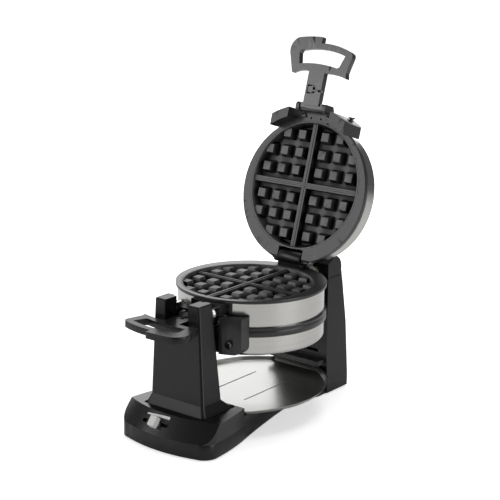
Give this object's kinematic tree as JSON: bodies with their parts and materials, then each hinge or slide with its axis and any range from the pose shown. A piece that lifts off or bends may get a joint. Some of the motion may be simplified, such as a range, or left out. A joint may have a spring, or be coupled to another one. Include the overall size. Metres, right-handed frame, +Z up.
{
  "type": "double belgian waffle maker",
  "caption": "Flip-over waffle maker: a round head with hinged lids, plates and handles turns on a cradle over a drip tray.",
  "frame": {"origin": "on the ground under the middle of the bounding box", "axes": "+Z up, -Y towards the front with the heat slider, the head turns about an axis along Y"},
  "size_m": [0.21, 0.3963, 0.5142],
  "materials": {
    "brushed_steel_shell": "brushed",
    "black_moulding": "satin",
    "black_gloss": "gloss",
    "cook_plate_coating": "satin",
    "polished_steel": "polished",
    "tray_steel": "brushed",
    "screw_steel": "satin",
    "heater_steel": "satin",
    "inner_plastic": "matte",
    "circuit_board": "satin",
    "bearing_plastic": "matte",
    "rubber_foot": "matte",
    "knob_silver": "satin",
    "lens_dark": "gloss"
  },
  "bodies": {
    "head": {"mid_band": "brushed_steel_shell", "upper_mid_bezel": "black_moulding", "lower_mid_bezel": "black_moulding", "upper_mid_plate": "cook_plate_coating", "lower_mid_plate": "cook_plate_coating", "upper_mid_heater": "heater_steel", "lower_mid_heater": "heater_steel", "upper_hinge_pin": "polished_steel", "lower_hinge_pin": "polished_steel", "hinge_block": "black_moulding", "rear_shaft": "polished_steel", "shaft_ring": "screw_steel", "thermostat": "inner_plastic", "front_hub": "black_moulding", "front_trunnion": "polished_steel"},
    "upper_lid": {"upper_lid_shell": "brushed_steel_shell", "upper_lid_bezel": "black_moulding", "upper_lid_plate": "cook_plate_coating", "upper_lid_heater": "heater_steel", "upper_lid_screws": "screw_steel", "upper_bracket": "black_moulding", "upper_bracket_screws": "screw_steel", "upper_handle_pin": "polished_steel"},
    "upper_handle_body": {"upper_handle": "black_moulding"},
    "upper_latch_body": {"upper_latch": "polished_steel"},
    "lower_lid": {"lower_lid_shell": "brushed_steel_shell", "lower_lid_bezel": "black_moulding", "lower_lid_plate": "cook_plate_coating", "lower_lid_heater": "heater_steel", "lower_lid_screws": "screw_steel", "lower_bracket": "black_moulding", "lower_bracket_screws": "screw_steel", "lower_handle_pin": "polished_steel"},
    "lower_handle_body": {"lower_handle": "black_moulding"},
    "lower_latch_body": {"lower_latch": "polished_steel"},
    "base": {"base_shell": "black_moulding", "control_deck": "black_gloss", "bottom_cover": "black_moulding", "feet": "rubber_foot", "base_screws": "screw_steel", "front_column": "black_moulding", "column_screws": "screw_steel", "front_saddle": "bearing_plastic", "rear_upright": "black_moulding", "upright_cap": "black_moulding", "upright_panel": "black_moulding", "rear_bearing": "bearing_plastic", "slide_pot": "inner_plastic", "heat_mark": "knob_silver", "indicator_lens": "lens_dark", "control_board": "circuit_board", "terminal_block": "inner_plastic", "cord_gland": "rubber_foot"},
    "slider": {"slide_knob": "knob_silver"},
    "tray": {"drip_tray": "tray_steel"}
  },
  "joints": [
    {"name": "head_flip", "type": "hinge", "parent": "base", "child": "head", "pos_m": [0, 0.0195, 0.1705], "axis": [0, 1, 0], "range_deg": [0, 75]},
    {"name": "upper_lid_hinge", "type": "hinge", "parent": "head", "child": "upper_lid", "pos_m": [0, 0.1175, 0.2026], "axis": [1, 0, 0], "range_deg": [0, 107]},
    {"name": "lower_lid_hinge", "type": "hinge", "parent": "head", "child": "lower_lid", "pos_m": [0, 0.1175, 0.1384], "axis": [-1, 0, 0], "range_deg": [-1.5, 0]},
    {"name": "upper_handle_fold", "type": "hinge", "parent": "upper_lid", "child": "upper_handle_body", "pos_m": [0, 0.15717, 0.41477], "axis": [1, 0, 0], "range_deg": [-90, 0]},
    {"name": "lower_handle_fold", "type": "hinge", "parent": "lower_lid", "child": "lower_handle_body", "pos_m": [0, -0.097, 0.1625], "axis": [-1, 0, 0], "range_deg": [-4, 0]},
    {"name": "upper_latch_slide", "type": "slide", "parent": "upper_handle_body", "child": "upper_latch_body", "axis": [1, 0, 0], "range_m": [0, 0.0045]},
    {"name": "lower_latch_slide", "type": "slide", "parent": "lower_handle_body", "child": "lower_latch_body", "axis": [-1, 0, 0], "range_m": [0, 0.0045]},
    {"name": "heat_slide", "type": "slide", "parent": "base", "child": "slider", "axis": [1, 0, 0], "range_m": [-0.015, 0.015]},
    {"name": "drip_tray_slide", "type": "slide", "parent": "base", "child": "tray", "axis": [1, 0, 0], "range_m": [0, 0.24]}
  ]
}
